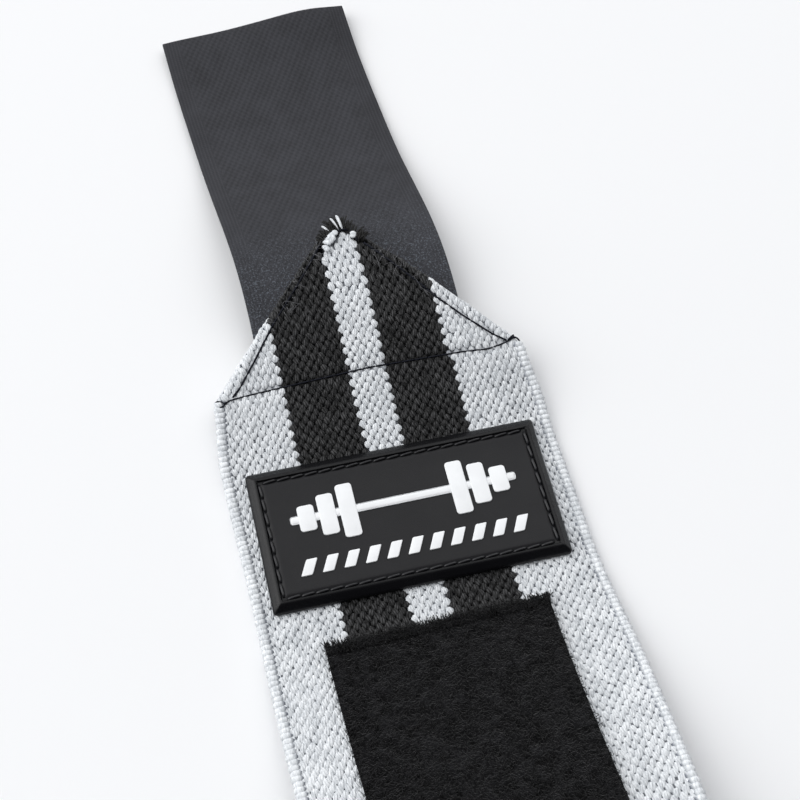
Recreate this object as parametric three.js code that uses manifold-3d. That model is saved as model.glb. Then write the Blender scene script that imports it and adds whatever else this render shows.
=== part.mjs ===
// A wrist wrap lying open on a table: a striped elastic band that ends in a folded point, a hook strap
// sewn under the point, a rubber patch and a loop panel on its face, and a thumb loop at its far end.
// Millimetres, +Z up. The wrap runs along Y, with the strap's free end at +Y.
import * as THREE from "three";
import { mergeVertices } from "three/addons/utils/BufferGeometryUtils.js";
import Module from "manifold-3d";

const wasm = await Module();
wasm.setup();

// The band. "along" is measured on the wrap from the seam across its shoulders: the strap's end is
// positive and the far hem negative.
const BAND_WIDTH = 79;
const BAND_LENGTH = 340;
const BAND_THICKNESS = 2;
const SHOULDER_WIDTH = 75; // the seam draws the band in
const TIP_WIDTH = 8; // the blunt end of the point
const POINT_LENGTH = 38; // from the seam to the blunt end
const HEM_DEPTH = 12;
const FLAP_SLIT = 0.6; // between the two corners folded under the point
const LAYER_GAP = 0.3; // between layers that are sewn together
const LAP = 2; // how far a folded edge laps into the sheet that it belongs to
const LAP_STEP = 0.05;

// The hook strap
const STRAP_WIDTH = 50.8;
const STRAP_THICKNESS = 1.6;
const STRAP_REACH = 116; // from the seam to the free end
const STRAP_INSET = 3; // from the seam to the end that the point covers

// The loop panel
const PANEL_WIDTH = 50.8;
const PANEL_LENGTH = 140;
const PANEL_THICKNESS = 1.6;
const PANEL_START = 63.6; // from the seam

// The rubber patch
const PATCH_WIDTH = 68.8;
const PATCH_HEIGHT = 34.4;
const PATCH_THICKNESS = 2.2;
const PATCH_START = 19.5; // from the seam
const PATCH_BORDER = 4.3; // bevel, rim and stitching groove together
const PATCH_TURN = -0.9; // degrees, as sewn by hand

// The raised emblem on the patch: a barbell over a row of slashes
const EMBLEM_THICKNESS = 0.5;
const EMBLEM_GAP = 0.2;
const EMBLEM_CORNER = 0.8;
const BARBELL_LENGTH = 53;
const BARBELL_RISE = 3.4; // above the middle of the patch
const BAR_HEIGHT = 2;
const PLATE_WIDTH = 3.9;
const PLATE_PITCH = 4.8;
const SLASH_COUNT = 11;
const SLASH_PITCH = 4.9;
const SLASH_WIDTH = 2.6;
const SLASH_HEIGHT = 3.8;
const SLASH_LEAN = 1.9;
const SLASH_DROP = 8.3; // below the middle of the patch

// The thumb loop, a tape whose two tails are sewn one on the other under the far hem
const TAPE_WIDTH = 10;
const TAPE_THICKNESS = 1.2;
const TAIL_LENGTH = 10;
const TAIL_GAP = 0.3;
const LOOP_REACH = 46;
const LOOP_HEIGHT = 15;

const STATION_STEP = 4; // between sections along the wrap
const EDGE_STEPS = 4; // sides of a rounded edge
const BEND_STEPS = 8; // sides of a fold or a turn of tape

const FOLD_RADIUS = BAND_THICKNESS + LAYER_GAP / 2;
const FOLDED = 2 * BAND_THICKNESS + LAYER_GAP; // two layers of band
const LOWEST = {
  band: BAND_THICKNESS,
  strap: FOLDED + LAYER_GAP + STRAP_THICKNESS,
  tails: FOLDED + LAYER_GAP + 2 * TAPE_THICKNESS + TAIL_GAP,
};
const HUMP = 12.6; // the air under the band's highest fold

// Crests and troughs of the wrap. at is a share of the band's length below 0 and of the strap's reach
// above it, lift a share of HUMP, and under the layer that is lowest there.
const WAVE = [
  { at: -1, lift: 0, under: "tails" },
  { at: -0.955, lift: 0, under: "tails" },
  { at: -0.87, lift: 0, under: "band" },
  { at: -0.69, lift: 0, under: "band" },
  { at: -0.44, lift: 1, under: "band" },
  { at: -0.15, lift: 0, under: "band" },
  { at: -0.085, lift: 0, under: "band" },
  { at: 0.28, lift: 0.53, under: "strap" },
  { at: 0.71, lift: 0, under: "strap" },
  { at: 0.86, lift: 0, under: "strap" },
  { at: 1, lift: 0.09, under: "strap" },
];

// Which way the wrap heads and how far it leans, in degrees, and how far its middle crowns as a share
// of the strap's thickness
const TURNS = [
  { at: -1, heading: 0, roll: 0, crown: 0 },
  { at: -0.69, heading: 0, roll: 0, crown: 0 },
  { at: -0.34, heading: 0.5, roll: 1.1, crown: 0 },
  { at: -0.15, heading: -1.8, roll: 0, crown: 0 },
  { at: -0.085, heading: -1.6, roll: 0, crown: 0 },
  { at: 0.1, heading: -2.9, roll: 2.4, crown: 0 },
  { at: 0.51, heading: 2.7, roll: -2.8, crown: 0 },
  { at: 0.71, heading: 2, roll: 0, crown: 0 },
  { at: 1, heading: 0.4, roll: 0, crown: 0.75 },
];

// The band's edges, as shares of half its width
const EDGES = [
  { at: -1, left: 1, right: 1 },
  { at: -0.5, left: 0.99, right: 1 },
  { at: -0.25, left: 0.985, right: 1.045 },
  { at: -0.14, left: 0.98, right: 1 },
  { at: -0.05, left: 0.99, right: 0.99 },
  { at: 0, left: SHOULDER_WIDTH / BAND_WIDTH, right: SHOULDER_WIDTH / BAND_WIDTH },
];

// The patch's border from its edge inwards: inset is a share of PATCH_BORDER, height of PATCH_THICKNESS
const BORDER = [
  { inset: 0, height: 0.22 },
  { inset: 0.3, height: 0.62 },
  { inset: 0.54, height: 1 },
  { inset: 0.63, height: 1 },
  { inset: 0.68, height: 0.6 },
  { inset: 0.94, height: 0.6 },
  { inset: 1, height: 0.86 },
];
const FIELD_HEIGHT = BORDER.at(-1).height * PATCH_THICKNESS;

// The plates at each end of the barbell, from the outside inwards, as shares of BARBELL_LENGTH
const PLATES = [{ height: 0.12 }, { height: 0.19 }, { height: 0.25 }];

const { degToRad, lerp, smoothstep } = THREE.MathUtils;
const reach = (at) => (at < 0 ? at * BAND_LENGTH : at * STRAP_REACH);

// A value of a table at a distance along the wrap, level at each row and smooth between rows.
function read(table, along, valueOf) {
  const next = table.findIndex((row) => reach(row.at) > along);
  if (next === 0) return valueOf(table[0]);
  if (next < 0) return valueOf(table.at(-1));
  const [low, high] = [table[next - 1], table[next]];
  return lerp(valueOf(low), valueOf(high), smoothstep(along, reach(low.at), reach(high.at)));
}

// The line that the middle of the band's face follows, one frame for each millimetre.
const CARRIER_START = -BAND_LENGTH - LOOP_REACH;
const CARRIER_END = STRAP_REACH;

function traceCarrier() {
  const heightAt = (along) => read(WAVE, along, (row) => row.lift * HUMP + LOWEST[row.under]);
  const frames = [];
  const point = new THREE.Vector3(0, 0, heightAt(CARRIER_START));
  for (let along = CARRIER_START; along <= CARRIER_END + 1; along++) {
    const heading = degToRad(read(TURNS, along, (row) => row.heading));
    const roll = degToRad(read(TURNS, along, (row) => row.roll));
    const climb = Math.asin(heightAt(along + 0.5) - heightAt(along - 0.5));
    const ahead = new THREE.Vector3(-Math.sin(heading), Math.cos(heading), Math.tan(climb)).normalize();
    const across = new THREE.Vector3(Math.cos(heading), Math.sin(heading), 0);
    across.applyAxisAngle(ahead, -roll);
    const up = new THREE.Vector3().crossVectors(across, ahead);
    frames.push({ point: point.clone().setZ(heightAt(along)), across, up });
    point.addScaledVector(ahead, 1);
  }
  return frames;
}

const CARRIER = traceCarrier();

// A point of the flat pattern, x across and z above the band's face, laid on the carrier.
function lay(x, along, z) {
  const position = Math.min(Math.max(along - CARRIER_START, 0), CARRIER.length - 2);
  const index = Math.floor(position);
  const [from, to] = [CARRIER[index], CARRIER[index + 1]];
  const share = along - CARRIER_START - index;
  const crown = read(TURNS, along, (row) => row.crown) * STRAP_THICKNESS;
  const bow = crown * (1 - (x / (STRAP_WIDTH / 2)) ** 2);
  const across = from.across.clone().lerp(to.across, share);
  const up = from.up.clone().lerp(to.up, share);
  return from.point.clone().lerp(to.point, share).addScaledVector(across, x).addScaledVector(up, z + bow);
}

// Places for sections between two distances along the wrap, the same ones for every piece.
function stations(start, end) {
  const places = [start];
  for (let n = Math.ceil(start / STATION_STEP); n * STATION_STEP < end; n++) {
    if (n * STATION_STEP > start) places.push(n * STATION_STEP);
  }
  return [...places, end];
}

const edgeAt = (along, side) => (read(EDGES, along, (row) => row[side]) * BAND_WIDTH) / 2;
const alongSection = (along, outline) => outline.map((p) => ({ flat: p, place: lay(p.x, along, p.y) }));
const acrossSection = (x, outline) => outline.map((p) => ({ flat: p, place: lay(x, p.x, p.y) }));

// Joins sections, rings of as many points each, into a closed geometry. A ring runs anticlockwise for
// someone who looks the way the loft goes.
function loft(sections) {
  const count = sections[0].length;
  const faces = [];
  for (let ring = 0; ring + 1 < sections.length; ring++) {
    for (let k = 0; k < count; k++) {
      const near = [ring * count + k, ring * count + ((k + 1) % count)];
      const far = near.map((index) => index + count);
      faces.push(near[0], far[1], near[1], near[0], far[0], far[1]);
    }
  }
  const last = (sections.length - 1) * count;
  const capOf = (section) => THREE.ShapeUtils.triangulateShape(section.map((p) => p.flat), []);
  for (const [a, b, c] of capOf(sections[0])) faces.push(a, b, c);
  for (const [a, b, c] of capOf(sections.at(-1))) faces.push(last + a, last + c, last + b);
  const geometry = new THREE.BufferGeometry().setFromPoints(sections.flat().map((p) => p.place));
  geometry.setIndex(faces);
  return geometry;
}

function solidOf(geometry) {
  const merged = mergeVertices(geometry, 1e-4);
  return new wasm.Manifold(
    new wasm.Mesh({
      numProp: 3,
      vertProperties: Float32Array.from(merged.attributes.position.array),
      triVerts: Uint32Array.from(merged.index.array),
    }),
  );
}

function joined(geometries) {
  const solid = geometries.map(solidOf).reduce((whole, piece) => whole.add(piece));
  const { vertProperties, triVerts } = solid.getMesh();
  const geometry = new THREE.BufferGeometry();
  geometry.setAttribute("position", new THREE.BufferAttribute(vertProperties, 3));
  geometry.setIndex(new THREE.BufferAttribute(triVerts, 1));
  return geometry;
}

// Points of an arc about a centre, from one angle to another in degrees.
function arc(centre, radius, from, to, steps) {
  return Array.from({ length: steps + 1 }, (_, n) => {
    const angle = degToRad(lerp(from, to, n / steps));
    return new THREE.Vector2(centre.x + radius * Math.cos(angle), centre.y + radius * Math.sin(angle));
  });
}

// A flat strip's section with round edges. steps divides its faces, for a strip that crowns.
function stripOutline(left, right, bottom, top, steps = 1) {
  const radius = (top - bottom) / 2;
  const middle = (bottom + top) / 2;
  const rightArc = arc(new THREE.Vector2(right - radius, middle), radius, -90, 90, EDGE_STEPS);
  const leftArc = arc(new THREE.Vector2(left + radius, middle), radius, 90, 270, EDGE_STEPS);
  const between = (from, to) =>
    Array.from({ length: steps - 1 }, (_, n) => from.clone().lerp(to, (n + 1) / steps));
  return [
    ...rightArc,
    ...between(rightArc.at(-1), leftArc[0]),
    ...leftArc,
    ...between(leftArc.at(-1), rightArc[0]),
  ];
}

const pointHalfWidth = (along) => lerp(SHOULDER_WIDTH, TIP_WIDTH, along / POINT_LENGTH) / 2;

// The sheet itself, from the far hem to the tip of the point.
function bandSheet() {
  const body = stations(FOLD_RADIUS - BAND_LENGTH, 0).map((along) =>
    alongSection(
      along,
      stripOutline(-edgeAt(along, "left"), edgeAt(along, "right"), -BAND_THICKNESS, 0),
    ),
  );
  const point = stations(LAP / 4, POINT_LENGTH - LAP_STEP).map((along) => {
    const half = pointHalfWidth(along) - FOLD_RADIUS + BAND_THICKNESS / 2;
    return alongSection(along, stripOutline(-half, half, -BAND_THICKNESS, 0));
  });
  return loft([...body, ...point]);
}

// The J-shaped section of an edge folded under: end is where the folded layer stops, and fold is the
// middle of the bend. The fold is on the side of +x.
function foldOutline(fold, end, along = []) {
  const centre = new THREE.Vector2(fold, -FOLD_RADIUS);
  const inner = arc(centre, LAYER_GAP / 2, 90, -90, BEND_STEPS / 2);
  const outer = arc(centre, FOLD_RADIUS, -90, 90, BEND_STEPS);
  const runs = (height) => along.map((x) => new THREE.Vector2(x, height));
  return [
    new THREE.Vector2(fold - LAP, LAP_STEP - BAND_THICKNESS),
    ...inner,
    ...runs(-BAND_THICKNESS - LAYER_GAP).reverse(),
    new THREE.Vector2(end, -BAND_THICKNESS - LAYER_GAP),
    new THREE.Vector2(end, -FOLDED),
    ...runs(-FOLDED),
    ...outer,
    new THREE.Vector2(fold - LAP, -LAP_STEP),
  ];
}

const mirrored = (outline) => outline.map((p) => new THREE.Vector2(-p.x, p.y)).reverse();

// One corner folded under the point, on the right (1) or the left (-1).
function pointFlap(side) {
  return loft(
    stations(0, POINT_LENGTH).map((along) => {
      const outline = foldOutline(pointHalfWidth(along) - FOLD_RADIUS, FLAP_SLIT / 2);
      return alongSection(along, side > 0 ? outline : mirrored(outline));
    }),
  );
}

function farHem() {
  const [fold, end] = [BAND_LENGTH - FOLD_RADIUS, BAND_LENGTH - HEM_DEPTH];
  const runs = stations(end, fold).slice(1, -1);
  const outline = mirrored(foldOutline(fold, end, runs));
  const inset = BAND_THICKNESS / 4;
  const [right, left] = [edgeAt(-BAND_LENGTH, "right") - inset, inset - edgeAt(-BAND_LENGTH, "left")];
  return loft([acrossSection(right, outline), acrossSection(left, outline)]);
}

const bandGeometry = () => joined([bandSheet(), pointFlap(1), pointFlap(-1), farHem()]);

function strapGeometry() {
  const top = -FOLDED - LAYER_GAP;
  const outline = stripOutline(-STRAP_WIDTH / 2, STRAP_WIDTH / 2, top - STRAP_THICKNESS, top, 6);
  return loft(stations(STRAP_INSET, STRAP_REACH).map((along) => alongSection(along, outline)));
}

function panelGeometry() {
  const top = LAYER_GAP + PANEL_THICKNESS;
  const outline = stripOutline(-PANEL_WIDTH / 2, PANEL_WIDTH / 2, LAYER_GAP, top);
  const places = stations(-PANEL_START - PANEL_LENGTH, -PANEL_START);
  return loft(places.map((along) => alongSection(along, outline)));
}

// The tape's middle line in the plane of the far end: out along the table, round, and back to the tail.
function loopPath() {
  const table = -LOWEST.tails;
  const low = table + TAPE_THICKNESS / 2;
  const back = low + TAPE_THICKNESS + TAIL_GAP;
  const radius = (LOOP_HEIGHT - TAPE_THICKNESS) / 2;
  const hem = -BAND_LENGTH;
  const turn = new THREE.Vector2(hem - LOOP_REACH + radius + TAPE_THICKNESS / 2, low + radius);
  const outwards = new THREE.LineCurve(
    new THREE.Vector2(hem + TAIL_LENGTH, low),
    new THREE.Vector2(turn.x, low),
  );
  const round = arc(turn, radius, 270, 90, 2 * BEND_STEPS);
  const homewards = new THREE.CubicBezierCurve(
    round.at(-1),
    new THREE.Vector2(lerp(turn.x, hem, 0.5), round.at(-1).y),
    new THREE.Vector2(lerp(turn.x, hem, 0.55), back),
    new THREE.Vector2(hem, back),
  );
  return [
    ...outwards.getPoints(6),
    ...round.slice(1, -1),
    ...homewards.getPoints(12),
    new THREE.Vector2(hem + TAIL_LENGTH, back),
  ];
}

function loopGeometry() {
  const path = loopPath();
  const sides = [-1, 1].map((side) =>
    path.map((p, n) => {
      const [before, after] = [path[Math.max(n - 1, 0)], path[Math.min(n + 1, path.length - 1)]];
      const ahead = after.clone().sub(before).normalize();
      const sideways = new THREE.Vector2(ahead.y, -ahead.x);
      return p.clone().addScaledVector(sideways, (side * TAPE_THICKNESS) / 2);
    }),
  );
  const outline = [...sides[1], ...sides[0].reverse()];
  return loft([acrossSection(TAPE_WIDTH / 2, outline), acrossSection(-TAPE_WIDTH / 2, outline)]);
}

const PATCH_MIDDLE = -PATCH_START - PATCH_HEIGHT / 2;
const PATCH_BASE = LAYER_GAP; // above the band's face

// A point of the patch, y up its face from its middle and z above its back, turned as it is sewn.
function layOnPatch(x, y, z) {
  const turned = new THREE.Vector2(x, y).rotateAround(new THREE.Vector2(), degToRad(PATCH_TURN));
  return lay(turned.x, PATCH_MIDDLE + turned.y, PATCH_BASE + z);
}

const patchSection = (y, outline) => outline.map((p) => ({ flat: p, place: layOnPatch(p.x, y, p.y) }));

function borderHeight(distance) {
  const share = Math.max(distance, 0) / PATCH_BORDER;
  const next = BORDER.findIndex((row) => row.inset > share);
  if (next < 0) return FIELD_HEIGHT;
  const [low, high] = [BORDER[next - 1], BORDER[next]];
  return PATCH_THICKNESS * lerp(low.height, high.height, (share - low.inset) / (high.inset - low.inset));
}

// Grid lines over a side of the patch: those of the border at each end, and the stations between.
function patchLines(size, between) {
  const insets = BORDER.map((row) => row.inset * PATCH_BORDER - size / 2);
  return [...insets, ...between, ...insets.map((place) => -place).reverse()];
}

function patchGeometry() {
  const columns = patchLines(PATCH_WIDTH, []);
  const inner = PATCH_HEIGHT / 2 - PATCH_BORDER;
  const rows = patchLines(PATCH_HEIGHT, stations(-inner, inner).slice(1, -1));
  return loft(
    rows.map((y) => {
      const inset = (x) => Math.min(PATCH_WIDTH / 2 - Math.abs(x), PATCH_HEIGHT / 2 - Math.abs(y));
      const back = columns.map((x) => new THREE.Vector2(x, 0));
      const face = columns.map((x) => new THREE.Vector2(x, borderHeight(inset(x)))).reverse();
      return patchSection(y, [...back, ...face]);
    }),
  );
}

// A raised bar on the patch's face with clipped corners, leaning by lean from its foot to its top.
function raised(middle, width, height, lean = 0, corner = EMBLEM_CORNER) {
  const [foot, top] = [middle.y - height / 2, middle.y + height / 2];
  const places = [foot, ...stations(foot + corner, top - corner), top];
  return places.map((y) => {
    const half = width / 2 - (y === foot || y === top ? corner : 0);
    const x = middle.x + lean * ((y - middle.y) / height);
    const low = FIELD_HEIGHT + EMBLEM_GAP;
    const high = low + EMBLEM_THICKNESS;
    return patchSection(y, [
      new THREE.Vector2(x - half, low),
      new THREE.Vector2(x + half, low),
      new THREE.Vector2(x + half, high),
      new THREE.Vector2(x - half, high),
    ]);
  });
}

function barbellGeometry() {
  const middle = new THREE.Vector2(0, BARBELL_RISE);
  const pieces = [raised(middle, BARBELL_LENGTH, BAR_HEIGHT, 0, BAR_HEIGHT / 4)];
  PLATES.forEach((plate, n) => {
    const out = BARBELL_LENGTH / 2 - PLATE_WIDTH - n * PLATE_PITCH;
    for (const x of [-out, out]) {
      const place = middle.clone().setX(x);
      pieces.push(raised(place, PLATE_WIDTH, plate.height * BARBELL_LENGTH));
    }
  });
  return joined(pieces.map(loft));
}

const slashGeometry = (n) =>
  loft(
    raised(
      new THREE.Vector2((n - (SLASH_COUNT - 1) / 2) * SLASH_PITCH, -SLASH_DROP),
      SLASH_WIDTH,
      SLASH_HEIGHT,
      SLASH_LEAN,
      EMBLEM_CORNER / 4,
    ),
  );

const knit = new THREE.MeshStandardMaterial({ color: 0xc9ccd1, roughness: 0.95, metalness: 0 });
const hookTape = new THREE.MeshStandardMaterial({ color: 0x2b2c2f, roughness: 0.75, metalness: 0 });
const loopPile = new THREE.MeshStandardMaterial({ color: 0x151516, roughness: 1, metalness: 0 });
const blackRubber = new THREE.MeshStandardMaterial({ color: 0x1d1d20, roughness: 0.45, metalness: 0 });
const whiteRubber = new THREE.MeshStandardMaterial({ color: 0xf0f1f3, roughness: 0.5, metalness: 0 });
const elasticTape = new THREE.MeshStandardMaterial({ color: 0x18181a, roughness: 0.9, metalness: 0 });

const wrap = new THREE.Group();

function add(name, geometry, material) {
  const mesh = new THREE.Mesh(geometry, material);
  mesh.name = name;
  wrap.add(mesh);
}

add("elastic_band", bandGeometry(), knit);
add("hook_strap", strapGeometry(), hookTape);
add("loop_panel", panelGeometry(), loopPile);
add("thumb_loop", loopGeometry(), elasticTape);
add("patch_base", patchGeometry(), blackRubber);
add("emblem_barbell", barbellGeometry(), whiteRubber);
for (let n = 0; n < SLASH_COUNT; n++) {
  add(`emblem_slash_${String(n + 1).padStart(2, "0")}`, slashGeometry(n), whiteRubber);
}

// The origin is on the table, under the middle of the wrap.
const footprint = new THREE.Box3().setFromObject(wrap);
const middle = footprint.getCenter(new THREE.Vector3());
wrap.position.set(-middle.x, -middle.y, 0);

export default wrap;
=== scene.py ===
# The looks of a wrist wrap that lies open on a pale table: knit, tapes, pile, rubber and thread.
# Blender works in metres. The cloth is modelled flat, in millimetres, and then laid on the wrap's wave.
import math

import bpy
import numpy as np
from mathutils import Matrix, Vector


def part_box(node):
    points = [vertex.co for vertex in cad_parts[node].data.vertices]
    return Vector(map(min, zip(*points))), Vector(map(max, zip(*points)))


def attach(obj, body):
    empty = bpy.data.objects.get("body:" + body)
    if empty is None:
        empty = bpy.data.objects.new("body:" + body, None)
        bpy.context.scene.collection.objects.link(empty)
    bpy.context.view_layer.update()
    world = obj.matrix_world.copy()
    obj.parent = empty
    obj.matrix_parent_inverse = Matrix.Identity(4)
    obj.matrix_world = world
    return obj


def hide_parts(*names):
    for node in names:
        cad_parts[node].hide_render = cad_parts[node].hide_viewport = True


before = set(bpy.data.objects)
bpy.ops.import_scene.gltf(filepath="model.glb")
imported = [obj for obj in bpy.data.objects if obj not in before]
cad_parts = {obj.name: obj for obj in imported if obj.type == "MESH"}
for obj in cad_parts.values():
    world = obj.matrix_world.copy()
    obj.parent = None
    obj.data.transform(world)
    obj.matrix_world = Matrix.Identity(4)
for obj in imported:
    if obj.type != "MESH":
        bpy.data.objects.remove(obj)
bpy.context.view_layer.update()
print("frame loaded")

mm = 0.001
dice = np.random.default_rng(7)

# The flat pattern and the wave that it lies on, in millimetres. Each at is a share of the band's
# length below 0 and of the strap's reach above it, counted from the seam across the shoulders.
pattern = {
    "bandLength": 340.0,
    "bandWidth": 79.0,
    "bandThickness": 2.0,
    "shoulderWidth": 75.0,
    "tipWidth": 8.0,
    "pointLength": 38.0,
    "hemDepth": 12.0,
    "layerGap": 0.3,
    "strapReach": 116.0,
    "strapWidth": 50.8,
    "strapThickness": 1.6,
    "strapInset": 3.0,
    "panelWidth": 50.8,
    "panelLength": 140.0,
    "panelStart": 63.6,
    "patchWidth": 68.8,
    "patchHeight": 34.4,
    "patchStart": 19.5,
    "patchTurn": -0.9,
    "tapeThickness": 1.2,
    "tapeWidth": 10.0,
    "tailGap": 0.3,
    "tailLength": 10.0,
    "loopReach": 46.0,
    "loopHeight": 15.0,
    "hump": 12.6,
}
shoulderShare = pattern["shoulderWidth"] / pattern["bandWidth"]
clothEnd = -pattern["bandLength"] - pattern["hemDepth"]  # before the hem is turned under
clothLength = pattern["pointLength"] - clothEnd
panelEnd = -pattern["panelStart"] - pattern["panelLength"]
halfCloth = pattern["bandThickness"] / 2
folded = 2 * pattern["bandThickness"] + pattern["layerGap"]
lowest = {
    "band": pattern["bandThickness"],
    "strap": folded + pattern["layerGap"] + pattern["strapThickness"],
    "tails": folded + pattern["layerGap"] + 2 * pattern["tapeThickness"] + pattern["tailGap"],
}
waveRows = {
    "at": (-1, -0.955, -0.87, -0.69, -0.44, -0.15, -0.085, 0.28, 0.71, 0.86, 1),
    "lift": (0, 0, 0, 0, 1, 0, 0, 0.53, 0, 0, 0.09),
    "under": ("tails",) * 2 + ("band",) * 5 + ("strap",) * 4,
}
waveRows["height"] = [a * pattern["hump"] + lowest[b] for a, b in zip(waveRows["lift"], waveRows["under"])]
turnRows = {  # heading and roll in degrees, crown as a share of the strap's thickness
    "at": (-1, -0.69, -0.34, -0.15, -0.085, 0.1, 0.51, 0.71, 1),
    "heading": (0, 0, 0.5, -1.8, -1.6, -2.9, 2.7, 2, 0.4),
    "roll": (0, 0, 1.1, 0, 0, 2.4, -2.8, 0, 0),
    "crown": (0, 0, 0, 0, 0, 0, 0, 0, 0.75),
}
edgeRows = {  # the band's edges, as shares of half its width
    "at": (-1, -0.5, -0.25, -0.14, -0.05, 0),
    "left": (1, 0.99, 0.985, 0.98, 0.99, shoulderShare),
    "right": (1, 1, 1.045, 1, 0.99, shoulderShare),
}


def readRows(rows, along, key):  # level at each row, smooth between rows
    places = np.array([at * pattern["bandLength" if at < 0 else "strapReach"] for at in rows["at"]])
    values = np.array(rows[key], float)
    after = np.clip(np.searchsorted(places, along, side="right"), 1, len(places) - 1)
    low, high = places[after - 1], places[after]
    t = np.clip((along - low) / (high - low), 0, 1)
    return values[after - 1] + (values[after] - values[after - 1]) * t * t * (3 - 2 * t)


unit = lambda rows: rows / np.linalg.norm(rows, axis=1)[:, None]


def traceWave():  # one frame for each millimetre along the wrap
    start = -pattern["bandLength"] - pattern["loopReach"]
    along = np.arange(start, pattern["strapReach"] + 1.5)
    heightAt = lambda s: readRows(waveRows, s, "height")
    heading = np.radians(readRows(turnRows, along, "heading"))
    roll = np.radians(readRows(turnRows, along, "roll"))
    climb = np.arcsin(heightAt(along + 0.5) - heightAt(along - 0.5))
    ahead = unit(np.stack([-np.sin(heading), np.cos(heading), np.tan(climb)], 1))
    level = np.stack([np.cos(heading), np.sin(heading), np.zeros_like(heading)], 1)
    above = np.cross(level, ahead)
    across = level * np.cos(roll)[:, None] + above * np.sin(roll)[:, None]
    up = np.cross(across, ahead)
    low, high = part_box("thumb_loop")  # its far end is where the wave starts
    points = np.zeros((len(along), 3))
    points[1:, :2] = np.cumsum(ahead[:-1, :2], 0)
    points[:, 0] += (low.x + high.x) / 2 / mm
    points[:, 1] += low.y / mm
    points[:, 2] = heightAt(along)
    return {"start": start, "points": points, "across": across, "up": up}


wave = traceWave()


def layOnWave(flat):  # x across, y along and z above the band's face, to metres in the frame
    x, along, z = flat[:, 0], flat[:, 1], flat[:, 2]
    index = np.clip(along - wave["start"], 0, len(wave["points"]) - 2).astype(int)
    share = (along - wave["start"] - index)[:, None]
    blend = lambda key: wave[key][index] * (1 - share) + wave[key][index + 1] * share
    bow = readRows(turnRows, along, "crown") * pattern["strapThickness"]
    z = z + bow * (1 - (x / (pattern["strapWidth"] / 2)) ** 2)
    return (blend("points") + blend("across") * x[:, None] + blend("up") * z[:, None]) * mm


patchMiddle = -pattern["patchStart"] - pattern["patchHeight"] / 2


def layOnPatch(flat):  # x and y from the patch's middle, z above its back
    turn = math.radians(pattern["patchTurn"])
    x = flat[:, 0] * math.cos(turn) - flat[:, 1] * math.sin(turn)
    y = flat[:, 0] * math.sin(turn) + flat[:, 1] * math.cos(turn)
    return layOnWave(np.stack([x, y + patchMiddle, flat[:, 2] + pattern["layerGap"]], 1))


fold = {"radius": halfCloth + pattern["layerGap"] / 2}
fold["inset"] = fold["radius"] + halfCloth
run = (pattern["shoulderWidth"] - pattern["tipWidth"]) / 2
slant = math.hypot(run, pattern["pointLength"])
cornerNormal = np.array([pattern["pointLength"] / slant, run / slant])
foldLines = [  # a point on each fold and the way out over it
    {"at": np.array([pattern["shoulderWidth"] / 2, 0.0]), "out": cornerNormal},
    {"at": np.array([-pattern["shoulderWidth"] / 2, 0.0]), "out": cornerNormal * [-1, 1]},
    {"at": np.array([0.0, -pattern["bandLength"]]), "out": np.array([0.0, -1.0])},
]


def foldCloth(flat):  # z is the height above the middle of the cloth; corners and hem turn under
    out = flat.copy()
    out[:, 2] -= halfCloth
    for line in foldLines:
        over = (flat[:, :2] - line["at"]) @ line["out"] + fold["inset"]
        angle = np.clip(over / fold["radius"], 0, math.pi)
        arm = fold["radius"] + flat[:, 2]
        beyond = np.maximum(over - math.pi * fold["radius"], 0)
        moved = arm * np.sin(angle) - beyond - over
        turned = over > 0
        out[turned, :2] += (moved[:, None] * line["out"])[turned]
        out[turned, 2] = (arm * np.cos(angle) - fold["inset"])[turned]
    return out


layCloth = lambda flat: layOnWave(foldCloth(flat))


def halfWidth(x, along):  # on the side that x is on
    left, right = (readRows(edgeRows, np.minimum(along, 0), side) for side in ("left", "right"))
    return np.where(x < 0, left, right) * pattern["bandWidth"] / 2


# Shader maths: a wire is a socket that can be added, multiplied and so on
class Wire:
    def __init__(self, graph, socket):
        self.graph = graph
        self.socket = socket

    def maths(self, operation, *others):
        sockets = dict(enumerate((self, *others)))
        return self.graph.node("ShaderNodeMath", {"operation": operation}, sockets)

    def ridges(self, half, low, high):
        return self.graph.smooth(self.maths("PINGPONG", half), low, high)

    __add__ = __radd__ = lambda self, other: self.maths("ADD", other)
    __mul__ = __rmul__ = lambda self, other: self.maths("MULTIPLY", other)
    __sub__ = lambda self, other: self.maths("SUBTRACT", other)
    __rsub__ = lambda self, other: self * -1 + other


class Graph:
    def __init__(self, tree, shader):
        self.tree = tree
        self.shader = tree.nodes[shader]

    def node(self, kind, settings, sockets, out=0):
        made = self.tree.nodes.new(kind)
        for name, value in settings.items():
            setattr(made, name, value)
        for name, value in sockets.items():
            if isinstance(value, Wire):
                self.tree.links.new(value.socket, made.inputs[name])
            else:
                made.inputs[name].default_value = value
        return Wire(self, made.outputs[out])

    def feed(self, name, wire):
        self.tree.links.new(wire.socket, self.shader.inputs[name])

    def smooth(self, value, low, high):
        sockets = {"Value": value, "From Min": low, "From Max": high}
        return self.node("ShaderNodeMapRange", {"interpolation_type": "SMOOTHSTEP"}, sockets)

    def mix(self, factor, a, b):
        sockets = {0: factor}
        for place, colour in ((6, a), (7, b)):
            sockets[place] = (*colour, 1) if isinstance(colour, tuple) else colour
        return self.node("ShaderNodeMix", {"data_type": "RGBA"}, sockets, 2)


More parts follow.
